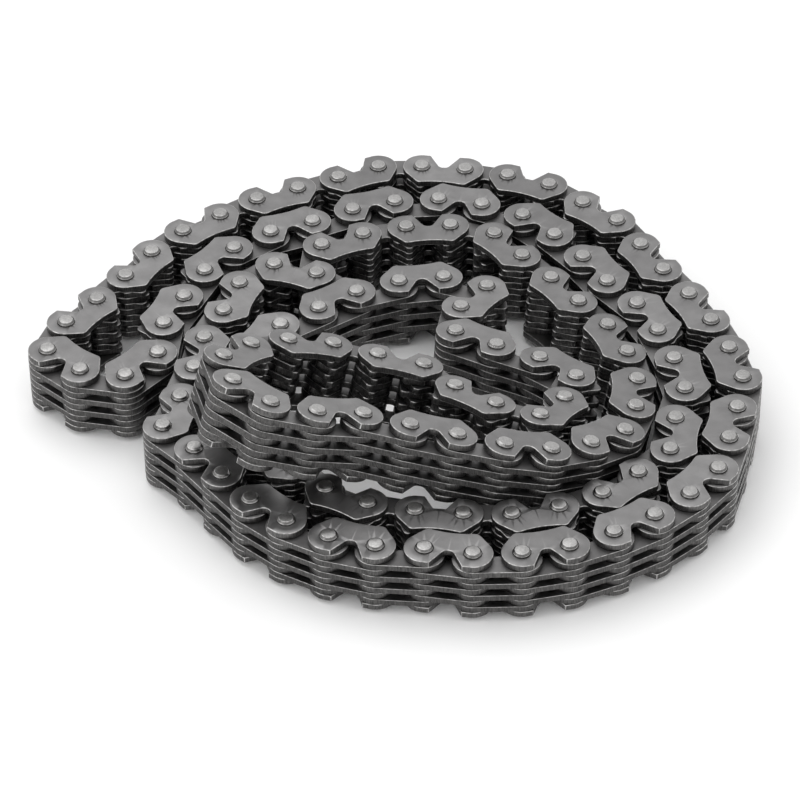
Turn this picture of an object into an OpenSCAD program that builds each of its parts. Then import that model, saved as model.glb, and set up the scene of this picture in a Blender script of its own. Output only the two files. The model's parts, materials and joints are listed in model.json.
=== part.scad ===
/* Silent timing chain, closed into a loop and laid folded on its side.
   Sizes are in millimetres and angles in degrees.
   Links are numbered from 0 along the chain. Even links are guide links, which carry
   two pins, two guide plates and three toothed plates. Odd links are middle links,
   with four toothed plates that turn on the pins of both neighbours. */

/* [Chain] */
// Distance between the centres of neighbouring pins
pitch = 6.35; // [4:0.05:12]
// Thickness of each plate
plate_thickness = 0.92; // [0.6:0.01:1.6]
// Free space between neighbouring layers of plates
layer_gap = 0.11; // [0.08:0.01:0.3]

/* [Pins] */
// Pin diameter
pin_diameter = 2.4; // [1.6:0.05:3]
// Length of pin that stands out past each guide plate
pin_proud = 0.45; // [0.2:0.05:1]
// Bevel on the riveted ends of the pin
pin_bevel = 0.28; // [0.1:0.02:0.4]
// Clearance per side between a pin and the guide plates riveted to it
rivet_clearance = 0.01; // [0.01:0.01:0.03]
// Clearance per side between a pin and the toothed plates that turn on it
running_clearance = 0.08; // [0.06:0.01:0.1]

/* [Toothed plate] */
// Radius of the lobe around each pin, as a share of the pitch
lobe_share = 0.43; // [0.42:0.01:0.47]
// Height of the tooth tips above the pin line, as a share of the pitch
tip_share = 0.58; // [0.55:0.01:0.66]
// Distance of each tip from its pin toward the middle, as a share of the pitch
tip_inset_share = 0.04; // [0:0.01:0.1]
// Radius of the tooth tips, as a share of the pitch
tip_radius_share = 0.1; // [0.06:0.01:0.14]
// Height of the crotch floor above the pin line, as a share of the pitch
crotch_share = 0.06; // [0.02:0.01:0.12]
// Radius of the crotch floor, as a share of the pitch
crotch_radius_share = 0.15; // [0.1:0.01:0.2]

/* [Guide plate] */
// Radius of the lobe around each pin, as a share of the pitch
guide_lobe_share = 0.425; // [0.4:0.01:0.46]
// Height of the hips above the pin line, as a share of the pitch
hip_share = 0.58; // [0.55:0.01:0.65]
// Radius of the hip corners, as a share of the pitch
hip_radius_share = 0.13; // [0.08:0.01:0.2]
// Distance of each hip from its pin toward the middle, as a share of the pitch
hip_inset_share = 0.015; // [0:0.005:0.06]
// Sag of the edge between the hips, as a share of the pitch
sag_share = 0.055; // [0.02:0.005:0.1]
// Radius of the notch in the back, as a share of the pitch
notch_radius_share = 0.15; // [0.1:0.01:0.18]
// Slope of the notch sides away from upright
notch_slope = 31; // [20:1:36]

/* [Hidden] */
// Smoothness of the round edges
$fn = 32;
// Number of links in the closed chain
links = 126;
// Straight sides run this far inside the arcs that they join, so that they cross cleanly
bite = 0.01;
// The straight sides of the notch run this far down, past the lobes, as a share of the pitch
notch_reach_share = 0.6;
// Distance from one layer of plates to the next
layer_step = plate_thickness + layer_gap;
// Half the length of a pin
half_pin = 4 * layer_step + plate_thickness / 2 + pin_proud;
guide_colour = [0.60, 0.59, 0.58];
toothed_colour = [0.46, 0.45, 0.44];
pin_colour = [0.70, 0.69, 0.68];

// Part to draw, or all of them

// How the chain lies. The first pin, in pitches from the middle of the outline
start = [-4.19, -3.19];

// Stretches as [number of links, heading of the first, turn from link to link], chosen in
// whole degrees after the photograph, with 0 to the right and 90 to the back.
// The first list runs up to the hidden part of the lowest strand, the second from there on
stretches_before = [
  [2, -53, 1], [4, -41, 12], [4, -10, 11], [3, 30, 10], [3, 73, 3], [4, 103, 6], [2, 117, 2],
  [2, 138, 0], [4, 159, 7], [3, 203, 0], [2, 215, 0], [1, 228, 0], [3, 237, -3],
  [1, 250, 0], [1, 318, 0], [1, 349, 0], [1, 408, 0], [1, 445, 0], [2, 426, -1],
  [3, 411, -15], [1, 385, 0], [2, 377, -13], [2, 348, -12], [3, 314, -7], [1, 308, 0],
  [3, 294, -7], [1, 255, 0], [1, 260, 0], [2, 225, -6], [2, 204, -12], [3, 179, -6],
];
stretches_after = [
  [1, 58, 0],
  [2, 34, 0], [2, 20, -12], [1, -22, 0], [1, -126, 0], [1, -99, 0], [2, -29, 3],
  [1, -41, 0], [1, -108, 0], [1, -124, 0], [3, -197, -15], [2, -188, 0],
  [3, -169, 22], [3, -76, 38], [1, 13, 0], [3, -7, 2], [1, 5, 0],
  [2, 29, 11], [3, 72, 13], [2, 112, 13],
  [3, 125, 1], [1, 162, 0], [3, 183, 10], [1, 264, 0], [1, 161, 0], [1, 221, 0],
  [2, 251, -4], [3, 259, -4], [1, 314, 0],
];

// The hidden part lies under other strands, and closes the loop as an even bend
hidden_links = 6;

// Lean of the links at a few stations as [link, degrees], with even change between them.
// It tips the fold that lies on top of the lower strands
lean_east = [[78, 0], [86, 7], [94, 17], [99, 13], [104, 12], [114, 0]];
lean_north = [[75, 0], [86, 11], [95, 13], [104, 6], [117, 0]];

// Headings of the links of a list of stretches, one after the other
function spread(list) = [for (s = list) for (k = [0:s[0] - 1]) s[1] + k * s[2]];
before = spread(stretches_before);
after = spread(stretches_after);
first_after = len(before) + hidden_links;

// Slope of each link to the east and to the north
slopes = [
  for (i = [0:links - 1]) [lookup(i, lean_east), lookup(i, lean_north)] * PI / 180
];

// Way from one end of link i to the other at heading h
function unit(v) = v / norm(v);
function step(i, h) =
  unit([cos(h), sin(h), -slopes[i].x * cos(h) - slopes[i].y * sin(h)]) * pitch;
function total(list, i = 0) = i < len(list) ? list[i] + total(list, i + 1) : [0, 0, 0];

// Way that the hidden links have to cross, and how far they reach with a turn of t at each pin
crossing = -total([for (i = [0:len(before) - 1]) step(i, before[i])])
  - total([for (i = [0:len(after) - 1]) step(first_after + i, after[i])]);
plan_crossing = norm([crossing.x, crossing.y]);
function reach(t) = pitch * sin(hidden_links * t / 2) / sin(t / 2);

// The turn is found by halving: a smaller turn reaches farther
least_turn = 0.01;
most_turn = 55;
halvings = 40;
function halved(lo, hi, n) = n == 0 ? lo :
  let (m = (lo + hi) / 2) reach(m) > plan_crossing ? halved(m, hi, n - 1) : halved(lo, m, n - 1);
hidden_turn = -halved(least_turn, most_turn, halvings);
hidden = [
  for (k = [0:hidden_links - 1])
    atan2(crossing.y, crossing.x) + hidden_turn * (k - (hidden_links - 1) / 2)
];
headings = concat(before, hidden, after);

// Pin centres, found by walking along the links
first_pin = [start.x * pitch, start.y * pitch, half_pin];
raw_pins = [
  for (i = 0, p = first_pin; i <= links; p = p + step(i % links, headings[i % links]), i = i + 1) p
];
// The walk closes in plan. The small rest in height is shared out over all pins
rest = raw_pins[links] - raw_pins[0];
pins = [for (i = [0:links - 1]) raw_pins[i] - rest * i / links];

// Frame of link i: first pin at the origin, x along the link, y toward the teeth
module at_link(i) {
  along = unit(pins[(i + 1) % links] - pins[i]);
  tip = [slopes[i].x, slopes[i].y, 1];
  up = unit(tip - along * (tip * along));
  side = cross(up, along);
  multmatrix([
    [along.x, side.x, up.x, pins[i].x],
    [along.y, side.y, up.y, pins[i].y],
    [along.z, side.z, up.z, pins[i].z],
    [0, 0, 0, 1]
  ]) children();
}

// Unit normal of the line that touches two circles, on the side given by s
function touch(c1, r1, c2, r2, s) = let (d = c2 - c1, a = atan2(d.y, d.x) + s * acos((r1 - r2) / norm(d)))
  [cos(a), sin(a)];

// Plate blanks are drawn for the left half, then mirrored about the middle of the link
module both_halves() {
  children();
  translate([pitch, 0]) mirror([1, 0]) children();
}

module toothed_outline() {
  lobe = lobe_share * pitch;
  tip_r = tip_radius_share * pitch;
  tip_c = [tip_inset_share * pitch, tip_share * pitch - tip_r];
  floor_r = crotch_radius_share * pitch;
  floor_c = [pitch / 2, crotch_share * pitch + floor_r];
  flank = touch([0, 0], lobe - bite, tip_c, tip_r - bite, 1);
  inner = touch(tip_c, tip_r - bite, floor_c, bite - floor_r, 1);
  difference() {
    both_halves() {
      circle(r = lobe);
      translate(tip_c) circle(r = tip_r);
      polygon([
        [0, bite - lobe], [pitch / 2, bite - lobe], floor_c, floor_c - (floor_r - bite) * inner,
        tip_c + (tip_r - bite) * inner, tip_c, tip_c + (tip_r - bite) * flank, (lobe - bite) * flank
      ]);
    }
    translate(floor_c) circle(r = floor_r);
    plate_bores(running_clearance);
  }
}

module guide_outline() {
  lobe = guide_lobe_share * pitch;
  hip_r = hip_radius_share * pitch;
  hip_c = [hip_inset_share * pitch, hip_share * pitch - hip_r];
  flank = touch([0, 0], lobe - bite, hip_c, hip_r - bite, 1);
  sag = sag_share * pitch;
  span = pitch / 2 - hip_c.x;
  sag_r = (span * span + sag * sag) / (2 * sag);
  notch_r = notch_radius_share * pitch;
  notch_side = [cos(notch_slope), sin(notch_slope)];
  notch_down = [sin(notch_slope), -cos(notch_slope)] * notch_reach_share * pitch;
  difference() {
    both_halves() {
      circle(r = lobe);
      translate(hip_c) circle(r = hip_r);
      polygon([
        [0, bite - lobe], [pitch / 2, bite - lobe], [pitch / 2, hip_share * pitch],
        hip_c + [0, hip_r - bite], hip_c + (hip_r - bite) * flank, (lobe - bite) * flank
      ]);
    }
    translate([pitch / 2, hip_share * pitch - sag + sag_r]) circle(r = sag_r);
    translate([pitch / 2, -notch_r]) {
      circle(r = notch_r);
      polygon([
        notch_r * notch_side, notch_r * notch_side + notch_down,
        notch_r * [-notch_side.x, notch_side.y] + [-notch_down.x, notch_down.y],
        notch_r * [-notch_side.x, notch_side.y]
      ]);
    }
    plate_bores(rivet_clearance);
  }
}

module plate_bores(clearance) {
  for (x = [0, pitch]) translate([x, 0]) circle(d = pin_diameter + 2 * clearance);
}

// A plate in layer k, counted up and down from the middle layer
module toothed_plate(k) {
  translate([0, 0, k * layer_step - plate_thickness / 2])
    linear_extrude(plate_thickness) toothed_outline();
}

module guide_plate(k) {
  translate([0, 0, k * layer_step - plate_thickness / 2])
    linear_extrude(plate_thickness) guide_outline();
}

module pin() {
  r = pin_diameter / 2;
  rotate_extrude() polygon([
    [0, -half_pin], [r - pin_bevel, -half_pin], [r, -half_pin + pin_bevel],
    [r, half_pin - pin_bevel], [r - pin_bevel, half_pin], [0, half_pin]
  ]);
}

module middle_link(i) {
  at_link(i) for (k = [-3, -1, 1, 3]) toothed_plate(k);
}

// Links that turn by themselves. The links between two of them move as one span.
// Each pair of entries runs in opposite directions, so the loop stays closed
free_links = [25, 27, 29, 31, 39, 45, 47, 49];

module free_link(k) { middle_link(free_links[k]); }

// A span runs from the guide link after one free link to the one before the next
function span_first(k) = free_links[k] + 1;
function span_last(k) = k + 1 < len(free_links) ? free_links[k + 1] - 1 : free_links[0] - 1 + links;

module span_plates(k) {
  for (i = [span_first(k):span_last(k)])
    if (i % 2 == 0) at_link(i % links) for (j = [-2, 0, 2]) toothed_plate(j);
    else middle_link(i % links);
}

module span_guides(k) {
  for (i = [span_first(k):2:span_last(k)])
    at_link(i % links) for (j = [-4, 4]) guide_plate(j);
}

module span_pins(k) {
  for (i = [span_first(k):2:span_last(k)])
    at_link(i % links) for (x = [0, pitch]) translate([x, 0, 0]) pin();
}

// Free links, numbered in chain order
module free_link_01() { color(toothed_colour) free_link(0); }
module free_link_02() { color(toothed_colour) free_link(1); }
module free_link_03() { color(toothed_colour) free_link(2); }
module free_link_04() { color(toothed_colour) free_link(3); }
module free_link_05() { color(toothed_colour) free_link(4); }
module free_link_06() { color(toothed_colour) free_link(5); }
module free_link_07() { color(toothed_colour) free_link(6); }
module free_link_08() { color(toothed_colour) free_link(7); }

// Spans between the free links, numbered in chain order
module span_01_plates() { color(toothed_colour) span_plates(0); }
module span_01_guides() { color(guide_colour) span_guides(0); }
module span_01_pins() { color(pin_colour) span_pins(0); }
module span_02_plates() { color(toothed_colour) span_plates(1); }
module span_02_guides() { color(guide_colour) span_guides(1); }
module span_02_pins() { color(pin_colour) span_pins(1); }
module span_03_plates() { color(toothed_colour) span_plates(2); }
module span_03_guides() { color(guide_colour) span_guides(2); }
module span_03_pins() { color(pin_colour) span_pins(2); }
module span_04_plates() { color(toothed_colour) span_plates(3); }
module span_04_guides() { color(guide_colour) span_guides(3); }
module span_04_pins() { color(pin_colour) span_pins(3); }
module span_05_plates() { color(toothed_colour) span_plates(4); }
module span_05_guides() { color(guide_colour) span_guides(4); }
module span_05_pins() { color(pin_colour) span_pins(4); }
module span_06_plates() { color(toothed_colour) span_plates(5); }
module span_06_guides() { color(guide_colour) span_guides(5); }
module span_06_pins() { color(pin_colour) span_pins(5); }
module span_07_plates() { color(toothed_colour) span_plates(6); }
module span_07_guides() { color(guide_colour) span_guides(6); }
module span_07_pins() { color(pin_colour) span_pins(6); }
module span_08_plates() { color(toothed_colour) span_plates(7); }
module span_08_guides() { color(guide_colour) span_guides(7); }
module span_08_pins() { color(pin_colour) span_pins(7); }

free_link_01();
free_link_02();
free_link_03();
free_link_04();
free_link_05();
free_link_06();
free_link_07();
free_link_08();
span_01_plates();
span_01_guides();
span_01_pins();
span_02_plates();
span_02_guides();
span_02_pins();
span_03_plates();
span_03_guides();
span_03_pins();
span_04_plates();
span_04_guides();
span_04_pins();
span_05_plates();
span_05_guides();
span_05_pins();
span_06_plates();
span_06_guides();
span_06_pins();
span_07_plates();
span_07_guides();
span_07_pins();
span_08_plates();
span_08_guides();
span_08_pins();
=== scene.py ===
# %% [markdown]
# # Looks of a silent timing chain
#
# The chain is bare steel: blanked and tumbled toothed plates, blanked guide plates, and
# ground pins whose ends are riveted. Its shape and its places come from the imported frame.
# Each cell below makes one thing and prints what it made.

# %% Load the frame
import json
import math

import bmesh
import bpy
from mathutils import Matrix, Vector


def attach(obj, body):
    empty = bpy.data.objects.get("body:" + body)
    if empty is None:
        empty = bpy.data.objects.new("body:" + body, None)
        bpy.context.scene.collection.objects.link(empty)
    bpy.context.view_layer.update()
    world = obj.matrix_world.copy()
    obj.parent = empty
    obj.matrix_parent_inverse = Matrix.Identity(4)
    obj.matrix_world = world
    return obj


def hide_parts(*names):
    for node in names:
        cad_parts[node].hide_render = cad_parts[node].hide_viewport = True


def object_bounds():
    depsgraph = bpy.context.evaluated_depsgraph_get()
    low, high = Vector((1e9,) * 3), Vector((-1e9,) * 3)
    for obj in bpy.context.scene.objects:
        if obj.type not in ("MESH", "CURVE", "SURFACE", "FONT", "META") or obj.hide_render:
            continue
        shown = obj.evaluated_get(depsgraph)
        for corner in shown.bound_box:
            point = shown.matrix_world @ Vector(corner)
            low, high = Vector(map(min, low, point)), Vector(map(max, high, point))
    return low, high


MM_PER_M = 1000

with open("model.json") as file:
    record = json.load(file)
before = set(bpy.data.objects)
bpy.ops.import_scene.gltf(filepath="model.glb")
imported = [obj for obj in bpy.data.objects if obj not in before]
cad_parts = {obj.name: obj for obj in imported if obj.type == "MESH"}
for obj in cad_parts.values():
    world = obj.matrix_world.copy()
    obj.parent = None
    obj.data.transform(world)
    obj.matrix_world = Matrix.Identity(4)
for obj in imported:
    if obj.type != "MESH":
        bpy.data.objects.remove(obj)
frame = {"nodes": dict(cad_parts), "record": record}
cad_low, cad_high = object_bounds()
bpy.ops.object.select_all(action="DESELECT")
print("CAD box in mm:", [round(MM_PER_M * v, 1) for v in cad_high - cad_low])

# %% [markdown]
# ## Helpers
#
# Colours are written as sRGB hex, as read off a screen, and turned linear here. Sizes of
# grain and scratches are written in millimetres of the real surface.


# %% Colour and node helpers
def linear(hex_colour):
    """An sRGB hex colour as a linear RGBA tuple."""
    screen = [int(hex_colour[i:i + 2], 16) / 255 for i in (1, 3, 5)]
    light = [c / 12.92 if c <= 0.04045 else ((c + 0.055) / 1.055) ** 2.4 for c in screen]
    return (*light, 1)


def add(material, kind, settings=None, links=None):
    """Adds a node. Settings are values of inputs or properties, links are sockets for inputs."""
    node = material.node_tree.nodes.new(kind)
    for key, value in (settings or {}).items():
        if key in node.inputs:
            node.inputs[key].default_value = value
        else:
            setattr(node, key, value)
    for key, socket in (links or {}).items():
        material.node_tree.links.new(socket, node.inputs[key])
    return node


def new_material(name):
    """An empty node material with its shader, and the place on the object in millimetres."""
    material = bpy.data.materials.new(name)
    material.use_nodes = True
    material.node_tree.nodes.clear()
    out = add(material, "ShaderNodeOutputMaterial")
    shader = add(material, "ShaderNodeBsdfPrincipled", {"Metallic": 1.0})
    material.node_tree.links.new(shader.outputs["BSDF"], out.inputs["Surface"])
    where = add(material, "ShaderNodeTexCoord").outputs["Object"]
    in_mm = add(material, "ShaderNodeMapping", {"Scale": (MM_PER_M,) * 3}, {"Vector": where})
    return material, shader, in_mm.outputs["Vector"]


def connect(material, shader, colour, roughness, normal):
    """Links what was made to the shader. A roughness that is a plain number is set on it."""
    links = {"Base Color": colour, "Normal": normal}
    if isinstance(roughness, float):
        shader.inputs["Roughness"].default_value = roughness
    else:
        links["Roughness"] = roughness
    for name, socket in links.items():
        material.node_tree.links.new(socket, shader.inputs[name])
    return material


def noise(material, place, size_mm, detail=2.0, stretch=(1, 1, 1)):
    """Noise whose features are about size_mm across, stretched along the axes."""
    scale = tuple(1 / s for s in stretch)
    scaled = add(material, "ShaderNodeMapping", {"Scale": scale}, {"Vector": place})
    made = add(material, "ShaderNodeTexNoise", {"Scale": 1 / size_mm, "Detail": detail},
               {"Vector": scaled.outputs["Vector"]})
    return made.outputs[0]


def ramp(material, value, dark, light, dark_end=0.3, light_start=0.7):
    """A colour that goes from dark to light between two values."""
    node = add(material, "ShaderNodeValToRGB", links={"Fac": value})
    stops = ((dark_end, dark), (light_start, light))
    for element, (position, colour) in zip(node.color_ramp.elements, stops):
        element.position = position
        element.color = linear(colour)
    return node.outputs["Color"]


def spread(material, value, low, high):
    """Maps 0 to 1 onto low to high."""
    node = add(material, "ShaderNodeMapRange", {"To Min": low, "To Max": high}, {"Value": value})
    return node.outputs["Result"]


def differ(material, colour, low, high):
    """The colour, made darker or lighter on each separate solid, by low to high."""
    island = add(material, "ShaderNodeNewGeometry").outputs["Random Per Island"]
    node = add(material, "ShaderNodeVectorMath", {"operation": "SCALE"})
    material.node_tree.links.new(colour, node.inputs[0])
    material.node_tree.links.new(spread(material, island, low, high), node.inputs["Scale"])
    return node.outputs["Vector"]


def bump(material, height, depth_mm):
    """A bump normal from a height, of a real depth in millimetres."""
    settings = {"Strength": 1.0, "Distance": depth_mm / MM_PER_M}
    node = add(material, "ShaderNodeBump", settings, {"Height": height})
    return node.outputs["Normal"]


# %% [markdown]
# ## Materials
#
# The plates are stamped from strip and tumbled, so their flats are satin with fine marks
# in all directions, and each plate is a little lighter or darker than the next. Their cut
# walls keep the grain of the shear, which runs through the thickness, and are coloured
# darker than the flats as painted shade. The edge between flat and wall is coloured
# bright as a painted highlight, with a few dull nicks of wear.


# %% Satin flats of the plates
def satin(name, dark, light, rough_low, rough_high):
    """Tumbled steel: soft clouds of tone, fine marks, and each plate a little different."""
    material, shader, place = new_material(name)
    clouds = ramp(material, noise(material, place, 2.5, 3), dark, light)
    tone = differ(material, clouds, 0.88, 1.12)
    rough = spread(material, noise(material, place, 0.9, 3), rough_low, rough_high)
    marks = noise(material, place, 0.12, 3)
    return connect(material, shader, tone, rough, bump(material, marks, 0.008))


toothed_flat = satin("tumbled_steel_toothed", "#6c6b6b", "#7b7a7a", 0.36, 0.5)
guide_flat = satin("tumbled_steel_guide", "#7e7d7d", "#8c8b8b", 0.32, 0.44)
print("flats:", toothed_flat.name, guide_flat.name)


# %% Sheared walls of the plates, coloured darker as painted shade
def sheared(name, dark, light):
    """The wall left by the punch: grain through the thickness, coloured darker than the flats as
    painted shade.
    """
    material, shader, place = new_material(name)
    grain = noise(material, place, 0.16, 2, (1, 1, 7))
    tone = differ(material, ramp(material, grain, dark, light), 0.85, 1.15)
    rough = spread(material, noise(material, place, 0.6), 0.38, 0.6)
    return connect(material, shader, tone, rough, bump(material, grain, 0.02))


# The walls are darker than the flats as painted shade of the sides and of the recesses between
# plates.
toothed_wall_painted_shade = sheared("sheared_steel_toothed_painted_shade", "#434242", "#676665")
guide_wall_painted_shade = sheared("sheared_steel_guide_painted_shade", "#4a4949", "#706f6e")
print("walls:", toothed_wall_painted_shade.name, guide_wall_painted_shade.name)


# %% Bright edges: painted highlight, with worn nicks
def bright(name, dark, light, rough):
    """An edge coloured bright as a painted highlight, with a few dull nicks of wear."""
    material, shader, place = new_material(name)
    nicks = noise(material, place, 0.5, 3)
    colour = ramp(material, nicks, dark, light, 0.35, 0.6)
    return connect(material, shader, colour, rough, bump(material, nicks, 0.01))


# The bright edge colour is a painted highlight on the rounded edges; the dull nicks are wear.
edge_wear_and_painted_highlight = bright("tumbled_steel_edge_wear_and_painted_highlight", "#868584", "#c2c1c0", 0.28)
print("edge:", edge_wear_and_painted_highlight.name)


# %% Ground and riveted pins
def ground(name, dark, light, size_mm, stretch, rough_low, rough_high):
    """Ground steel: fine marks of size_mm, drawn out along the axes by stretch."""
    material, shader, place = new_material(name)
    lines = noise(material, place, size_mm, 3, stretch)
    tone = differ(material, ramp(material, lines, dark, light), 0.92, 1.1)
    rough = spread(material, noise(material, place, 0.5), rough_low, rough_high)
    return connect(material, shader, tone, rough, bump(material, lines, 0.006))


pin_end = ground("pressed_steel_pin_end", "#979695", "#b2b1b0", 0.25, (1, 1, 1), 0.26, 0.38)
# The pin sides are coloured darker than the pin ends as painted shade.
painted_shade_pin_side = ground("ground_steel_painted_shade_pin_side", "#5a5958", "#7c7b7a", 0.1, (8, 8, 1), 0.22, 0.34)
print("pins:", pin_end.name, painted_shade_pin_side.name)

# %% [markdown]
# ## Pieces
#
# Each CAD node becomes a looks piece: a copy with its doubled points merged, its flat faces
# and walls told apart, and its sharp edges broken by a small bevel. The piece stays where
# the node is and stands for it. A node with many solids becomes several pieces, so that no
# piece grows too large.


# %% Make pieces from a node
SOLIDS_A_PIECE = 90
SAME_POINT_M = 1e-7
# A face is a flat, not a wall, where its normal points up or down at least this much
LEAST_UP_OF_FLAT = 0.8
# Wall faces take the darker colour, painted shade; edge faces take the bright colour, a painted
# highlight.
FLAT, WALL_PAINTED_SHADE, EDGE = 0, 1, 2


def solids_of(mesh):
    """The separate solids of a bmesh in their own order, each as a list of faces."""
    seen = set()
    found = []
    for first in mesh.faces:
        if first in seen:
            continue
        seen.add(first)
        solid = [first]
        for face in solid:
            for edge in face.edges:
                for other in edge.link_faces:
                    if other not in seen:
                        seen.add(other)
                        solid.append(other)
        found.append(solid)
    return found


def merged_copies(name, node, slots):
    """Copies of a CAD node, SOLIDS_A_PIECE to each, merged, with flats and walls told apart."""
    source = frame["nodes"][node]
    whole = bmesh.new()
    whole.from_mesh(source.data)
    bmesh.ops.remove_doubles(whole, verts=whole.verts, dist=SAME_POINT_M)
    whole.normal_update()
    solids = solids_of(whole)
    for number, solid in enumerate(solids):
        for face in solid:
            face.material_index = number // SOLIDS_A_PIECE
    pieces = []
    for group in range(math.ceil(len(solids) / SOLIDS_A_PIECE)):
        mesh = whole.copy()
        others = [face for face in mesh.faces if face.material_index != group]
        bmesh.ops.delete(mesh, geom=others, context="FACES")
        for face in mesh.faces:
            face.material_index = FLAT if abs(face.normal.z) > LEAST_UP_OF_FLAT else WALL_PAINTED_SHADE
            face.smooth = True
        data = bpy.data.meshes.new("%s_%d" % (name, group + 1))
        mesh.to_mesh(data)
        mesh.free()
        for material in slots:
            data.materials.append(material)
        piece = bpy.data.objects.new(data.name, data)
        bpy.context.collection.objects.link(piece)
        piece.matrix_world = source.matrix_world
        pieces.append(piece)
    whole.free()
    return pieces


def broken_edges(piece, width_mm, segments, sharp_deg):
    """Rounds the sharp edges, and keeps the flats evenly lit up to the rounding."""
    bpy.ops.object.select_all(action="DESELECT")
    bpy.context.view_layer.objects.active = piece
    piece.select_set(True)
    edge = piece.modifiers.new("broken_edge", "BEVEL")
    edge.width = width_mm / MM_PER_M
    edge.segments = segments
    edge.limit_method = "ANGLE"
    edge.angle_limit = math.radians(sharp_deg)
    edge.use_clamp_overlap = False
    edge.loop_slide = False
    edge.face_strength_mode = "FSTR_ALL"
    # The rounded faces take the bright edge colour, a painted highlight.
    edge.material = EDGE
    bpy.ops.object.modifier_apply(modifier=edge.name)
    bpy.ops.object.shade_smooth()
    even = piece.modifiers.new("even_flats", "WEIGHTED_NORMAL")
    even.use_face_influence = True
    bpy.ops.object.modifier_apply(modifier=even.name)


def dress(node):
    """Makes the looks pieces of a node, each standing for the node."""
    if node.endswith("_pins"):
        slot, flat, wall, width_mm, segments, sharp_deg = "pin", pin_end, painted_shade_pin_side, 0.05, 2, 25
    elif node.endswith("_guides"):
        slot, flat, wall, width_mm, segments, sharp_deg = (
            "guide_plate", guide_flat, guide_wall_painted_shade, 0.09, 2, 45)
    else:
        slot, flat, wall, width_mm, segments, sharp_deg = (
            "toothed_plate", toothed_flat, toothed_wall_painted_shade, 0.06, 1, 45)
    pieces = merged_copies(node + "_look", node, [flat, wall, edge_wear_and_painted_highlight])
    for piece in pieces:
        broken_edges(piece, width_mm, segments, sharp_deg)
        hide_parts(node)
    return pieces


# %% Dress every node
counts = {}
bodies = frame["record"]["behaviour"]["bodies"]
body_of_node = {node: body for body, nodes in bodies.items() for node in nodes}
for node in sorted(body_of_node):
    for piece in dress(node):
        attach(piece, body_of_node[node])
        counts[piece.name] = sum(len(face.vertices) - 2 for face in piece.data.polygons)
largest = max(counts, key=counts.get)
print("pieces:", len(counts), "triangles:", sum(counts.values()))
print("largest piece:", largest, counts[largest])

# %% [markdown]
# ## Floor, light and camera
#
# The photograph has a white ground and soft light from above and a little from the left.
# Lengths here are in metres.

# %% White ground
FLOOR_SIZE = 6
FLOOR_GAP = 0.00005
floor_material = bpy.data.materials.new("white_ground")
floor_material.use_nodes = True
floor_shader = floor_material.node_tree.nodes["Principled BSDF"]
floor_shader.inputs["Base Color"].default_value = linear("#ffffff")
floor_shader.inputs["Roughness"].default_value = 0.9
bpy.ops.mesh.primitive_plane_add(size=FLOOR_SIZE, location=(0, 0, cad_low.z - FLOOR_GAP))
floor = bpy.context.object
floor.name = "ground"
floor.data.materials.append(floor_material)
print("ground made")

# %% Soft light
world = bpy.data.worlds.new("soft_white_surround")
bpy.context.scene.world = world
world.use_nodes = True
surround = world.node_tree.nodes["Background"]
surround.inputs["Color"].default_value = linear("#ffffff")
surround.inputs["Strength"].default_value = 1.0


def softbox(name, place, size, watts):
    """A square soft light at place, aimed at the origin."""
    bpy.ops.object.light_add(type="AREA", location=place)
    light = bpy.context.object
    light.name = name
    light.data.size = size
    light.data.energy = watts
    light.rotation_euler = (-Vector(place)).to_track_quat("-Z", "Y").to_euler()


softbox("top_light", (-0.15, 0.2, 0.6), 0.5, 0.8)
softbox("left_light", (-0.5, -0.3, 0.35), 0.3, 0.4)
print("lights made")

# %% [markdown]
# The camera's place, angle and lens were found from where the pins lie in the photograph.

# %% Camera as in the photograph
AIM = Vector((0.00089, -0.01143, 0.01008))
DISTANCE = 0.49536
ELEVATION = math.radians(41.014)
ROLL = math.radians(-0.445)
LENS_MM = 164.98
SENSOR_MM = 36
NEAREST_SEEN = 0.01
back = Vector((0, -math.cos(ELEVATION), math.sin(ELEVATION)))
bpy.ops.object.camera_add(location=AIM + DISTANCE * back)
camera = bpy.context.object
pitched = Matrix.Rotation(math.radians(90) - ELEVATION, 3, "X")
camera.rotation_euler = (pitched @ Matrix.Rotation(ROLL, 3, "Z")).to_euler()
camera.data.lens = LENS_MM
camera.data.sensor_width = SENSOR_MM
camera.data.clip_start = NEAREST_SEEN
bpy.context.scene.camera = camera
bpy.context.scene.view_settings.view_transform = "Standard"
print("camera set")
